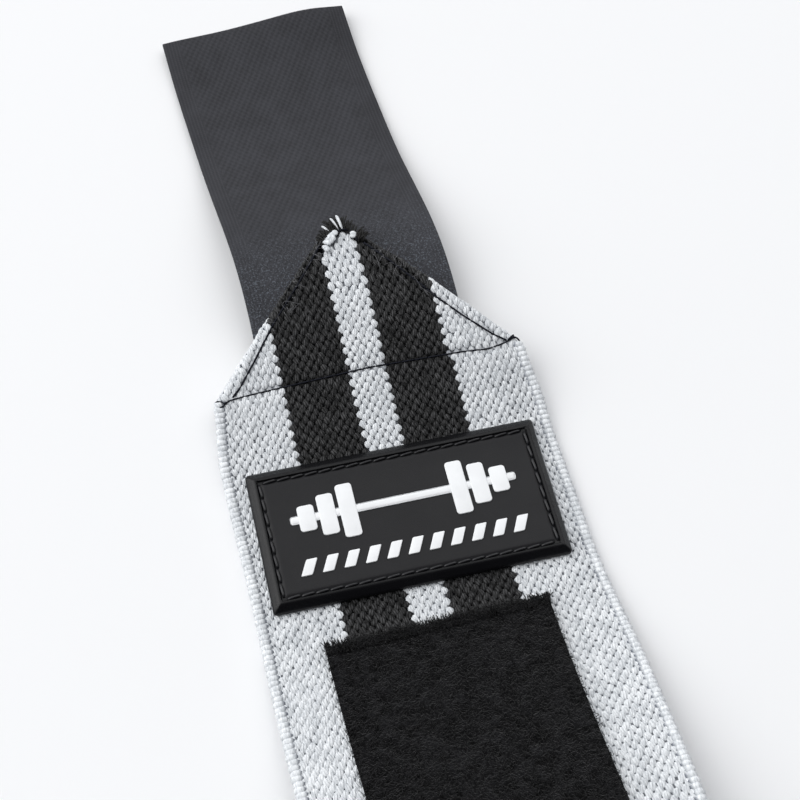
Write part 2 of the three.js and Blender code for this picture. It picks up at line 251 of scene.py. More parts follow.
class Finish(Graph):  # one material and the wires in it
    def __init__(self, name, **constants):
        self.material = bpy.data.materials.new(name)
        self.material.use_nodes = True
        super().__init__(self.material.node_tree, "Principled BSDF")
        for socket, value in constants.items():
            self.shader.inputs[socket.replace("_", " ")].default_value = value

    def noise(self, scale, detail, turn=(0, 0, 0), stretch=(1, 1, 1)):
        where = self.node("ShaderNodeTexCoord", {}, {}, "Object")
        placed = self.node("ShaderNodeMapping", {}, {"Vector": where, "Rotation": turn, "Scale": stretch})
        sockets = {"Vector": placed, "Scale": scale, "Detail": detail, "Roughness": 0.55}
        return self.node("ShaderNodeTexNoise", {}, sockets)

    def attribute(self, name):
        return self.node("ShaderNodeAttribute", {"attribute_name": name}, {}, "Fac")

    def uv(self, name):
        flat = self.node("ShaderNodeUVMap", {"uv_map": name}, {})
        parts = self.node("ShaderNodeSeparateXYZ", {}, {"Vector": flat})
        return parts, Wire(self, parts.socket.node.outputs["Y"])

    def bump(self, height, distance):
        sockets = {"Height": height, "Distance": distance, "Strength": 1.0}
        self.feed("Normal", self.node("ShaderNodeBump", {}, sockets))


plyHalf = 0.3  # half a ply, as a share of half a lobe
knitLooks = {  # the ply share sets how dark the painted shade between the yarn's plies gets, and rise is the height range over which painted shade darkens each lobe's sides towards the crevices' colour
    "lightKnit": {
        "low": (0.6, 0.625, 0.65),
        "high": (0.9, 0.92, 0.94),
        "creviceShade": (0.12, 0.135, 0.17),
        "rise": (0.12, 0.58),
        "rough": 0.9,
        "ply": 0.1,
    },
    "blackKnit": {
        "low": (0.003, 0.003, 0.0033),
        "high": (0.082, 0.082, 0.084),
        "creviceShade": (0.001, 0.001, 0.001),
        "rise": (0.1, 0.95),
        "rough": 0.65,
        "ply": 0.9,
    },
}


def knitFinish(name, look):  # yarn lobes of a few plies, with shade painted between the plies and down each lobe's sides where they dive
    constants = {"Sheen_Weight": 0.1, "Sheen_Roughness": 0.45, "Specular_IOR_Level": 0.2}
    finish = Finish(name, Roughness=look["rough"], **constants)
    fibres = finish.noise(2700, 3, stretch=(1, 0.28, 1))
    patchy = finish.noise(260, 3)
    tone = finish.mix(finish.smooth(patchy * 0.6 + fibres * 1.2, 0.66, 1.14), look["low"], look["high"])
    # painted shade: a dark line between the plies, and the crevices' colour low on each lobe's sides
    ridge = finish.attribute("strand").ridges(plyHalf, 0.0, 0.7 * plyHalf)
    rise = finish.smooth(finish.attribute("rise"), *look["rise"]) * (ridge * look["ply"] + (1 - look["ply"]))
    finish.feed("Base Color", finish.mix(rise, look["creviceShade"], tone))
    finish.bump(fibres * 0.6 + patchy * 0.4 + ridge * 0.55, 0.0002)
    return finish.material


def coreFinish(name):  # pale below the pale stripes
    finish = Finish(name, Roughness=0.95, Specular_IOR_Level=0.05)
    grain = finish.noise(1500, 3)
    tone = finish.mix(finish.attribute("rise"), (0.003, 0.003, 0.0035), (0.22, 0.23, 0.25))
    finish.feed("Base Color", finish.mix(grain * 0.4, tone, (0.003, 0.003, 0.0035)))
    finish.bump(grain, 0.0001)
    return finish.material


def plainFinish(name, colour, rough, scale, depth, spread=0.3, **constants):
    finish = Finish(name, Roughness=rough, **constants)
    grain = finish.noise(scale, 4)
    dark = tuple(c * (1 - spread) for c in colour)
    light = tuple(c * (1 + spread) for c in colour)
    finish.feed("Base Color", finish.mix(finish.smooth(grain, 0.3, 0.7), dark, light))
    finish.bump(grain, depth)
    return finish.material


def twillFinish(name):  # fine slanted ribs, a ribbed edge and light fuzzy specks near the seam, partly pale fibres and partly a painted sheen
    finish = Finish(name, Specular_IOR_Level=0.3, Sheen_Weight=0.12, Sheen_Roughness=0.4)
    across, along = finish.uv("tape")
    slanted, crossing = across * 0.83 - along * 0.56, across * 0.73 + along * 0.68
    rib = slanted.ridges(0.71, 0.04, 0.66)
    yarn = crossing.ridges(0.55, 0.0, 0.55)
    edge = finish.smooth(across.maths("ABSOLUTE"), 20.6, 21.4)
    cord = across.ridges(0.42, 0.05, 0.4)
    bar = along.ridges(0.3, 0.0, 0.3)
    weave = (rib * 0.55 + yarn * 0.45) * (1 - edge) + (cord * 0.7 + bar * 0.3) * edge
    cloudy = finish.noise(190, 4)
    grain = finish.noise(2400, 2)
    speck = finish.smooth(finish.noise(2700, 2), 0.52, 0.66)
    # pale specks near the seam: partly the fibres' own colour, partly a painted sheen on them
    fuzzAndSheen = speck * finish.smooth(along, 54, 26)
    shade = finish.smooth(weave * 0.14 + grain * 0.3 + cloudy * 0.36, 0.14, 0.66)
    tone = finish.mix(shade, (0.02, 0.02, 0.0235), (0.044, 0.045, 0.053))
    finish.feed("Base Color", finish.mix(fuzzAndSheen * 0.75, tone, (0.13, 0.148, 0.175)))
    finish.feed("Roughness", 0.82 - weave * 0.12)
    finish.bump(weave + grain * 0.6 + fuzzAndSheen * 0.5, 0.00007)
    return finish.material


def rubberFinish(name):  # a glossy rim and a matt field
    finish = Finish(name, Specular_IOR_Level=0.26)
    cloudy = finish.noise(120, 4)
    grain = finish.noise(5200, 2)
    field = finish.attribute("rise")
    tone = finish.mix(field, (0.003, 0.003, 0.0038), (0.0115, 0.0113, 0.0128))
    finish.feed("Base Color", finish.mix(cloudy * 0.5, tone, (0.006, 0.006, 0.007)))
    finish.feed("Roughness", field * 0.22 + cloudy * 0.14 + 0.18)
    finish.bump(grain + cloudy * 0.5, 0.00004)
    return finish.material


def pileFinish(name):  # dark curls with painted highlights along them, in clumps of lighter and darker tone
    finish = Finish(name, Roughness=0.95, Sheen_Weight=0.12, Sheen_Roughness=0.5, Specular_IOR_Level=0.08)
    curls = 0  # thin winding lines, where a noise passes its middle
    for scale, turn in ((650, (0, 0, 0)), (1050, (0.5, 0.9, 0.4))):
        off = finish.noise(scale, 2, turn) - 0.5
        curls = (1 - finish.smooth(off.maths("ABSOLUTE"), 0.0, 0.085)) * 0.5 + curls
    clumps = finish.noise(300, 4)
    # the lighter curls are painted highlights on the pile; the clumps vary its tone
    tipSheenAndClumps = curls * 0.6 + finish.smooth(clumps, 0.35, 0.65) * 0.5
    finish.feed("Base Color", finish.mix(tipSheenAndClumps, (0.0004, 0.0004, 0.0006), (0.0118, 0.0118, 0.0132)))
    finish.bump(tipSheenAndClumps, 0.0005)
    return finish.material


finishes = {
    "lightKnit": knitFinish("light knit", knitLooks["lightKnit"]),
    "blackKnit": knitFinish("black knit", knitLooks["blackKnit"]),
    "core": coreFinish("elastic core"),
    "thread": plainFinish(
        "black sewing thread", (0.008, 0.009, 0.015), 0.6, 4000, 0.00005, Specular_IOR_Level=0.15
    ),
    "twill": twillFinish("black hook tape twill"),
    "hook": plainFinish("nylon hooks", (0.012, 0.012, 0.013), 0.4, 900, 0.00002),
    "pile": pileFinish("loop pile"),
    "strand": plainFinish(
        "cut black yarn", (0.009, 0.0085, 0.008), 0.6, 2500, 0.00005, 0.7, Specular_IOR_Level=0.3
    ),
    "lint": plainFinish("pale lint", (0.16, 0.16, 0.17), 0.9, 900, 0.00002),
    "patchThread": plainFinish("black waxed thread", (0.01, 0.01, 0.012), 0.38, 3000, 0.00003),
    "blackRubber": rubberFinish("moulded black rubber"),
    "whiteRubber": plainFinish("moulded white rubber", (0.88, 0.89, 0.9), 0.5, 200, 0.00001, 0.03),
    "elastic": plainFinish("black elastic tape", (0.012, 0.012, 0.013), 0.8, 1200, 0.0001, Sheen_Weight=0.1),
}
print("finishes made")


# Making and laying pieces
def activate(obj):
    bpy.ops.object.select_all(action="DESELECT")
    obj.select_set(True)
    bpy.context.view_layer.objects.active = obj


def pointsOf(obj):
    flat = np.empty(len(obj.data.vertices) * 3)
    obj.data.vertices.foreach_get("co", flat)
    return flat.reshape(-1, 3)


def movePoints(obj, points):
    obj.data.vertices.foreach_set("co", np.asarray(points, np.float32).ravel())
    obj.data.update()


def applyModifier(obj, kind, **settings):
    activate(obj)
    modifier = obj.modifiers.new(kind.lower(), kind)
    for name, value in settings.items():
        setattr(modifier, name, value)
    bpy.ops.object.modifier_apply(modifier=modifier.name)


def flatGrid(name, width, start, end, step):  # a flat sheet, x across and y along, in millimetres
    length = end - start
    bpy.ops.mesh.primitive_grid_add(
        x_subdivisions=max(2, round(width / step)),
        y_subdivisions=max(2, round(length / step)),
        size=1,
        location=(0, (start + end) / 2, 0),
    )
    obj = bpy.context.object
    obj.scale = (width, length, 1)
    bpy.ops.object.transform_apply(location=True, rotation=True, scale=True)
    obj.name = obj.data.name = name
    return obj


def storeFlat(obj, mapName):  # keeps the flat pattern as a UV map, in millimetres
    layer = obj.data.uv_layers.new(name=mapName)
    corners = np.empty(len(obj.data.loops), int)
    obj.data.loops.foreach_get("vertex_index", corners)
    layer.data.foreach_set("uv", pointsOf(obj)[corners, :2].astype(np.float32).ravel())


def storeValue(mesh, name, values):
    mesh.attributes.new(name, "FLOAT", "POINT").data.foreach_set("value", values.astype(np.float32))


def meshFrom(name, points, triangles, **values):
    mesh = bpy.data.meshes.new(name)
    mesh.vertices.add(len(points))
    mesh.vertices.foreach_set("co", np.asarray(points, np.float32).ravel())
    mesh.loops.add(triangles.size)
    mesh.loops.foreach_set("vertex_index", triangles.ravel().astype(np.int32))
    mesh.polygons.add(len(triangles))
    mesh.polygons.foreach_set("loop_start", np.arange(0, triangles.size, 3, dtype=np.int32))
    mesh.update(calc_edges=True)
    mesh.polygons.foreach_set("use_smooth", np.ones(len(triangles), bool))
    for key, value in values.items():
        storeValue(mesh, key, np.broadcast_to(value, len(points)))
    obj = bpy.data.objects.new(name, mesh)
    bpy.context.scene.collection.objects.link(obj)
    return obj


def domeTemplate(segments=8):  # the upper half of a small ball, as points and triangles
    bpy.ops.mesh.primitive_uv_sphere_add(segments=segments, ring_count=4, radius=1)
    ball = bpy.context.object
    bpy.ops.object.mode_set(mode="EDIT")
    bpy.ops.mesh.select_all(action="SELECT")
    bpy.ops.mesh.bisect(plane_co=(0, 0, 0), plane_no=(0, 0, 1), use_fill=True, clear_inner=True)
    bpy.ops.object.mode_set(mode="OBJECT")
    applyModifier(ball, "TRIANGULATE")
    points = pointsOf(ball)
    triangles = np.empty(len(ball.data.polygons) * 3, int)
    ball.data.polygons.foreach_get("vertices", triangles)
    bpy.data.objects.remove(ball)
    return points, triangles.reshape(-1, 3)


def tubeTemplate(path, radius, sides=4):  # a closed tube along a short path
    path = np.asarray(path, float)
    ahead = unit(np.gradient(path, axis=0))
    side = unit(np.cross(ahead, [0.13, 0.29, 0.95]))  # a way that no path here takes
    other = np.cross(ahead, side)
    angles = np.arange(sides) * 2 * math.pi / sides
    width = np.broadcast_to(radius, len(path))[:, None, None]
    ring = side[:, None] * np.cos(angles)[None, :, None] + other[:, None] * np.sin(angles)[None, :, None]
    points = (path[:, None] + width * ring).reshape(-1, 3)
    triangles = []
    for n in range(len(path) - 1):
        for k in range(sides):
            a, b = n * sides + k, n * sides + (k + 1) % sides
            triangles += [(a, b, b + sides), (a, b + sides, a + sides)]
    last = (len(path) - 1) * sides
    for k in range(1, sides - 1):
        triangles += [(0, k + 1, k), (last, last + k, last + k + 1)]
    return points, np.array(triangles)


def copies(template, places, sizes, turns, leans=None):  # many copies of a shape in one pair of arrays
    points, triangles = template
    count = len(places)
    shape = points[None] * sizes[:, None]
    if leans is not None:
        shape[..., 1] += shape[..., 2] * leans[:, None]
    cos, sin = np.cos(turns)[:, None], np.sin(turns)[:, None]
    x = shape[..., 0] * cos - shape[..., 1] * sin
    y = shape[..., 0] * sin + shape[..., 1] * cos
    shape = np.stack([x, y, shape[..., 2]], 2) + places[:, None]
    faces = triangles[None] + (np.arange(count) * len(points))[:, None, None]
    return shape.reshape(-1, 3), faces.reshape(-1, 3)


def joinArrays(parts):
    offsets = np.cumsum([0] + [len(points) for points, faces in parts])
    faces = [corners + offset for (points, corners), offset in zip(parts, offsets)]
    return np.concatenate([points for points, faces in parts]), np.concatenate(faces)


def finishPiece(obj, finish, smoothAngle=None):
    obj.data.materials.clear()
    obj.data.materials.append(finishes[finish])
    if smoothAngle is not None:
        activate(obj)
        bpy.ops.object.shade_smooth_by_angle(angle=math.radians(smoothAngle))
    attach(obj, "root")
    return obj


def layPiece(name, parts, lay, finish, slot, **values):
    points, triangles = joinArrays(parts)
    print(name, len(triangles), "triangles")
    return finishPiece(meshFrom(name, lay(points), triangles, **values), finish)


# The camera, as the photograph was taken
seamSpot = Vector((*layOnWave(np.zeros((1, 3)))[0][:2], 0))  # on the table below the shoulder seam
camera = {
    "elevation": 61.76,
    "azimuth": -17.92,
    "roll": 2.52,
    "distance": 0.35314,
    "focal": 1464.6,  # in pixels of the 800 pixel frame
    "frame": 800,
    "shift": (0.0386, -0.02),
}


def addCamera():
    e, a, r = (math.radians(camera[k]) for k in ("elevation", "azimuth", "roll"))
    look = Vector((-math.sin(a) * math.cos(e), math.cos(a) * math.cos(e), -math.sin(e)))
    right = look.cross(Vector((0, 0, 1))).normalized()
    up = right.cross(look)
    turnedRight = right * math.cos(r) + up * math.sin(r)
    turnedUp = up * math.cos(r) - right * math.sin(r)
    bpy.ops.object.camera_add()
    obj = bpy.context.object
    axes = Matrix((turnedRight, turnedUp, -look)).transposed().to_4x4()
    obj.matrix_world = Matrix.Translation(seamSpot - look * camera["distance"]) @ axes
    obj.data.sensor_width = 36
    obj.data.lens = 36 * camera["focal"] / camera["frame"]
    obj.data.shift_x, obj.data.shift_y = camera["shift"]
    obj.data.clip_start = 0.01
    bpy.context.scene.camera = obj


addCamera()

studio = {
    "floorSize": 6.0,
    "floorColour": (0.935, 0.936, 0.943),
    "worldDim": (0.07, 0.072, 0.08),  # towards the viewer
    "worldBright": (0.93, 0.945, 0.965),  # behind the wrap and above it
    "worldStrength": 0.92,
    "lamps": [  # two high ones behind, the stronger on the left, and a weak low one for the rubber's gloss
        {"place": (-2.5, 0.9, 2.7), "size": 4.0, "power": 77.0},
        {"place": (1.9, 1.2, 2.6), "size": 4.0, "power": 33.0},
        {"place": (-1.0, 0.5, 0.22), "size": 0.5, "power": 1.2},
    ],
}


def addStudio():
    bpy.ops.mesh.primitive_plane_add(size=studio["floorSize"], location=(0, 0, -0.0002))
    floor = bpy.context.object
    floor.name = "table"
    finish = Finish("pale table", Roughness=0.6, Specular_IOR_Level=0.2)
    tint = finish.noise(3, 2)
    shade = tuple(c * 0.985 for c in studio["floorColour"])
    finish.feed("Base Color", finish.mix(tint, shade, studio["floorColour"]))
    floor.data.materials.append(finish.material)
    world = bpy.data.worlds.new("soft studio")
    world.use_nodes = True
    sky = Graph(world.node_tree, "Background")
    where = sky.node("ShaderNodeTexCoord", {}, {}, "Generated")
    parts = sky.node("ShaderNodeSeparateXYZ", {}, {"Vector": where})
    back = Wire(sky, parts.socket.node.outputs["Y"]) + parts * -0.35
    bright = sky.smooth(back, -0.75, 0.45)
    sky.feed("Color", sky.mix(bright, studio["worldDim"], studio["worldBright"]))
    sky.shader.inputs["Strength"].default_value = studio["worldStrength"]
    bpy.context.scene.world = world
    for row in studio["lamps"]:
        place = seamSpot + Vector(row["place"])
        bpy.ops.object.light_add(type="AREA", location=place)
        lamp = bpy.context.object
        lamp.data.shape = "DISK"
        lamp.data.size = row["size"]
        lamp.data.energy = row["power"]
        lamp.rotation_mode = "QUATERNION"
        lamp.rotation_quaternion = (seamSpot - place).to_track_quat("-Z", "Y")
    bpy.context.scene.view_settings.view_transform = "Standard"


addStudio()
print("camera and studio made")


# The elastic band: a dark core with yarn lobes on both faces and loops round its edges
knit = {
    "cells": 39,
    "rows": {  # the pitch holds between each two places
        "y": (-352, -110, -60, -20, 0, 20, 38),
        "pitch": (2.6, 2.35, 2.4, 2.55, 2.7, 3.4),
    },
    "lobes": {"lightKnit": (1.01, 0.5, 0.5), "blackKnit": (0.92, 0.47, 0.58)},
    "lobeJitter": (0.06, 0.05, 0.1),
    "evenHalf": 21.4,  # the stripes keep their width up to here, and only the rest narrows
    "coreHalf": 0.45,
    "face": 0.4,
    "blackHalves": ((18, 33), (43, 58)),  # half cells from the left edge, first and last
    "edgeLoop": 1.0,
    "edgeWidths": (0.3, 0.64, 0.74, 0.74, 0.74, 0.74, 0.64, 0.3),
    # painted shade along each edge loop, darkest at its two ends where it tucks into the knit
    "edgeShades": (0.15, 0.55, 1, 1, 1, 1, 0.55, 0.15),
    "edgeInset": 0.55,
    "coreStep": 1.6,
    "shoulderStep": {"left": 18, "leftFrom": -36, "right": 58, "rightTo": 0},  # columns black in part
    "paleCore": (-21, 4.3, 20),  # the core is pale outside the first and last, and within the middle one
    "slack": {"from": 50, "over": 25, "grow": 0.07},  # past the patch the lobes close up
    "turns": (0.3, -0.2),  # how even and odd columns lean
    "margins": (1.2, 1.6, 1.8),  # how far lobes run in below the panel and, in x and in y, the patch
    "grooveWidth": 0.8,
    "grooveDepth": 0.22,
}
seamRows = {"x": (-37.5, -33.5, -28, 0, 22, 29, 33, 37), "y": (-1.7, -0.4, -0.1, 0.8, 0.1, -0.5, 0.1, 1.5)}


def seamBow(x):  # the seam wanders a little and rises at its right end
    return np.interp(x, seamRows["x"], seamRows["y"])


stitchLines = {  # along the point's folds, from the shoulder to the tip
    "left": (3.2, 3.7, 3.3, 2.6, 2.5, 2.0),
    "right": (2.2, 3.1, 3.7, 3.8, 2.9, 2.0),
    "at": (0.04, 0.12, 0.28, 0.45, 0.7, 0.97),
}


def cornerLine(side, share):  # the row of stitches inside a folded edge
    inset = np.interp(share, stitchLines["at"], stitchLines["left" if side < 0 else "right"])
    x = pattern["shoulderWidth"] / 2 - run * share - cornerNormal[0] * inset
    return np.stack([side * x, pattern["pointLength"] * share - cornerNormal[1] * inset], 1)


def groove(x, y):  # how far the sewn rows pull the cloth in, from 0 to 1
    depth = np.exp(-(((y - seamBow(x)) / knit["grooveWidth"]) ** 2))
    share = np.linspace(0.04, 0.97, 60)
    for side in (-1, 1):
        row = cornerLine(side, share)
        near = np.min(np.hypot(x[:, None] - row[None, :, 0], y[:, None] - row[None, :, 1]), 1)
        depth = np.maximum(depth, 0.75 * np.exp(-((near / knit["grooveWidth"]) ** 2)))
    return depth


def makeCore():
    rows = round(clothLength / knit["coreStep"])
    bpy.ops.mesh.primitive_grid_add(x_subdivisions=50, y_subdivisions=rows, size=2)
    core = bpy.context.object
    core.name = core.data.name = "elastic_core"
    applyModifier(core, "SOLIDIFY", thickness=2 * knit["coreHalf"], offset=0)
    points = pointsOf(core)
    points[:, 1] = clothEnd + (points[:, 1] + 1) / 2 * clothLength
    points[:, 0] *= halfWidth(points[:, 0], points[:, 1]) - knit["coreHalf"]
    left, middle, right = knit["paleCore"]
    pale = (points[:, 0] < left) | (np.abs(points[:, 0]) < middle) | (points[:, 0] > right)
    storeValue(core.data, "rise", pale)
    movePoints(core, layCloth(points))
    finishPiece(core, "core", 50)
    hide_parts("elastic_band")
    return core


rowPlaces = np.array(knit["rows"]["y"], float)
rowPhases = np.r_[0, np.cumsum(np.diff(rowPlaces) / knit["rows"]["pitch"])]


def pitchAt(y):
    return np.interp(y, (rowPlaces[1:] + rowPlaces[:-1]) / 2, knit["rows"]["pitch"])


def lattice():  # the middle of every lobe on one face, as half cell, x and y
    halves = 2 * knit["cells"]
    column, row = np.meshgrid(np.arange(halves), np.arange(math.ceil(rowPhases[-1])))
    column, row = column.ravel(), row.ravel() + 0.5 * (column.ravel() % 2)
    y = np.interp(row, rowPhases, rowPlaces)
    share = (column + 0.5) / knit["cells"] - 1
    side = halfWidth(share, y) - knit["edgeInset"]
    even = knit["evenHalf"]
    full = pattern["bandWidth"] / 2 - knit["edgeInset"]
    outer = (np.abs(share) * full - even) / (full - even)
    x = np.sign(share) * np.where(outer < 0, np.abs(share) * full, even + outer * (side - even))
    inside = (y > clothEnd + 0.9) & (y < pattern["pointLength"] - 0.7)
    return column[inside], x[inside], y[inside]


def covered(x, y):  # what the patch and the loop panel hide
    margin, patchX, patchY = knit["margins"]
    onPanel = (np.abs(x) < pattern["panelWidth"] / 2 - margin) & (y < -pattern["panelStart"] - margin)
    onPanel &= y > panelEnd + margin
    onPatch = np.abs(x) < pattern["patchWidth"] / 2 - patchX
    onPatch &= np.abs(y - patchMiddle) < pattern["patchHeight"] / 2 - patchY
    return onPanel | onPatch


tipArc = {"x": (-3.7, -3.0, 0.9, 2.0, 3.3, 4.7), "y": (30.4, 32.9, 36.6, 36.9, 36.0, 32.6)}


def makeLobes(face):  # face is 1 on top and -1 below
    column, x, y = lattice()
    black = np.zeros(len(column), bool)
    for first, last in knit["blackHalves"]:
        black |= (column >= first) & (column <= last)
    step = knit["shoulderStep"]
    black &= (column != step["left"]) | (y > step["leftFrom"])
    black &= (column != step["right"]) | (y < step["rightTo"])
    if face > 0:
        keep = ~covered(x, y)
    else:
        keep = (y < -1) & (y > -pattern["bandLength"])
    dome = domeTemplate(8 if face > 0 else 5)
    for name, chosen, finish in (("light_knit", ~black, "lightKnit"), ("black_knit", black, "blackKnit")):
        picked = keep & chosen
        if finish == "lightKnit":  # the centre stripe ends in a round top
            picked &= (np.abs(x) > 12) | (y < np.interp(x, tipArc["x"], tipArc["y"]))
        px, py, pc = x[picked], y[picked], column[picked]
        count = len(px)
        each = lambda values: np.repeat(values, len(dome[0]))  # one value for all the points of a lobe
        pull = groove(px, py) if face > 0 else np.zeros(count)
        jitter = dice.normal(0, 1, (count, 5))
        slack = np.clip((-py - knit["slack"]["from"]) / knit["slack"]["over"], 0, 1)
        grown = 1 + knit["slack"]["grow"] * slack
        sizes = knit["lobes"][finish] * (1 + jitter[:, :3] * knit["lobeJitter"])
        sizes[:, 0] *= grown
        sizes[:, 1] *= grown * pitchAt(py)
        sizes[:, 2] *= 1 - 0.25 * pull
        height = knit["face"] - knit["grooveDepth"] * pull
        places = np.stack([px + 0.06 * jitter[:, 3], py + 0.08 * jitter[:, 4], height], 1)
        turns = np.where(pc % 2 == 0, *knit["turns"]) + 0.08 * dice.normal(0, 1, count)
        points, triangles = copies(dome, places, sizes, turns)
        # rise carries the painted shade: low on each lobe's sides, and lower still in the sewn grooves
        rise = np.tile(dome[0][:, 2], count) * (1 - 0.6 * each(pull))
        # past the patch, where the lobes close up, the pale stripes get less painted shade
        if finish == "lightKnit":
            rise += 0.15 * each(slack) * (1 - rise)
        if face < 0:
            points[:, 2] *= -1
            triangles = triangles[:, ::-1]
        strand = np.tile(dome[0][:, 0], count) + each(0.3 * jitter[:, 3])
        fullName = name if face > 0 else name + "_under"
        layPiece(fullName, [(points, triangles)], layCloth, finish, "knit", rise=rise, strand=strand)


def makeEdgeLoops():  # yarn that turns round the band's two edges
    angles = np.radians((105, 60, 20, -20, -60, -105))
    arc = np.stack([np.cos(angles), np.zeros(6), np.sin(angles)], 1) * [knit["edgeLoop"], 1, 0.62]
    arc = np.concatenate([[[-1.15, 0, 0.5]], arc, [[-1.15, 0, -0.5]]])
    loop = tubeTemplate(arc, knit["edgeWidths"], 6)
    first = np.interp(-1.0, rowPlaces, rowPhases)
    y = np.interp(np.arange(first, 0.2, -0.5), rowPhases, rowPlaces)
    count = len(y)
    parts, rises = [], []
    for side in (-1, 1):
        reachOut = halfWidth(side, y) - knit["edgeLoop"] - 0.35 + 0.12 * (np.arange(count) % 2)
        places = np.stack([side * reachOut, y, np.zeros(count)], 1)
        sizes = np.stack([np.ones(count), pitchAt(y) / 1.75, np.ones(count)], 1)
        turns = np.full(count, 0.0 if side > 0 else math.pi) + dice.normal(0, 0.06, count)
        parts.append(copies(loop, places, sizes, turns))
        # the loops' painted shade, dark at their ends
        rises.append(np.tile(np.repeat(knit["edgeShades"], 6), count))
    values = {"rise": np.concatenate(rises), "strand": plyHalf}
    layPiece("edge_loops", parts, layCloth, "lightKnit", "knit", **values)


core = makeCore()
makeLobes(1)
makeLobes(-1)
makeEdgeLoops()
print("band made")

# Sewing threads and loose ends on the band
sewing = {
    "radius": 0.2,
    "stitch": 3.2,
    "gap": 0.12,
    "seamDepth": 0.3,  # how far the thread lies under the lobes' tops
    "foldRadius": 0.25,
    "crossing": {"lift": 0.4, "stitch": 3.6, "radius": 0.24},  # the thread over the end of the centre stripe
    "hemRows": (2, 6),  # distances from the inner edge of the hem
    "hemHalf": 37.5,
    "looseEnds": 260,
    "lintFibres": 70,
}


def lengthsAlong(path):
    return np.r_[0, np.cumsum(np.hypot(*np.diff(path, axis=0).T))]


def stitchRow(points, depth, stitch=sewing["stitch"], radius=sewing["radius"], skew=0.0):  # arched stitches
    length = lengthsAlong(points)
    count = max(1, round(length[-1] / stitch))
    parts = []
    for n in range(count):
        along = n * length[-1] / count + np.linspace(0, length[-1] / count - sewing["gap"], 6)
        x = np.interp(along, length, points[:, 0])
        y = np.interp(along, length, points[:, 1])
        ends = np.array([x[-1] - x[0], y[-1] - y[0]])
        ends /= np.linalg.norm(ends)
        x, y = x - ends[1] * np.linspace(-skew, skew, 6), y + ends[0] * np.linspace(-skew, skew, 6)
        z = depth + radius * 0.9 * (np.sin(np.linspace(0, math.pi, 6)) ** 0.5 - 1.1)
        parts.append(tubeTemplate(np.stack([x, y, z], 1), radius, 6))
    return parts


shoulderEnds = [  # short loose ends where the rows cross at the shoulders
    [[34.0, 0.6], [36.0, 1.8], [37.0, 1.6]],
    [[34.6, 0.9], [35.8, 0.4], [36.4, -0.6]],
    [[-36.9, -0.6], [-35.6, -0.5], [-35.0, -1.4], [-36.4, -1.9]],
]


def makeSeams():
    top = halfCloth
    half = pattern["shoulderWidth"] / 2
    x = np.linspace(-half + 1.2, half - 1.2, 80)
    seam = np.stack([x, seamBow(x)], 1)
    parts = stitchRow(seam, top - sewing["seamDepth"])
    for side in (-1, 1):
        row = cornerLine(side, np.linspace(0.06, 0.96, 40))
        parts += stitchRow(row, top - sewing["seamDepth"] + 0.05, radius=sewing["foldRadius"])
    for ends in shoulderEnds:
        parts += stitchRow(np.array(ends), top + 0.12, 3)
    arc = np.column_stack([tipArc["x"], tipArc["y"]])[1:] + [0, 0.25]
    lift, stitch, radius = sewing["crossing"].values()
    parts += stitchRow(arc, top + lift, stitch, radius)
    for offset in sewing["hemRows"]:
        y = pattern["hemDepth"] - pattern["bandLength"] - offset
        parts += stitchRow(np.array([[-sewing["hemHalf"], y], [sewing["hemHalf"], y]]), top - 0.1)
    layPiece("sewing_threads", parts, layCloth, "thread", "knit")


frays = [  # light yarn at the tip: where it starts, where it ends, and its radius at both
    {"from": (1.8, 36.9), "to": (1.3, 41.0), "radius": (0.32, 0.42)},
    {"from": (0.9, 37.2), "to": (-0.3, 40.6), "radius": (0.15, 0.34)},
    {"from": (-1.5, 37.0), "to": (-2.9, 39.0), "radius": (0.22, 0.3)},
]
scrap = {  # the bits of the centre stripe outside the crossing thread, as lobes
    "x": (-3.1, -2.4, -1.7, -1.0, -0.3, -2.6, -1.9, -1.2, -3.5, -3.3, 3.9, 4.0),
    "y": (34.2, 34.9, 35.5, 36.0, 36.4, 33.9, 34.4, 35.0, 32.7, 32.2, 34.6, 35.1),
    "height": 1.55,
    "size": (0.8, 0.95, 0.35),
}


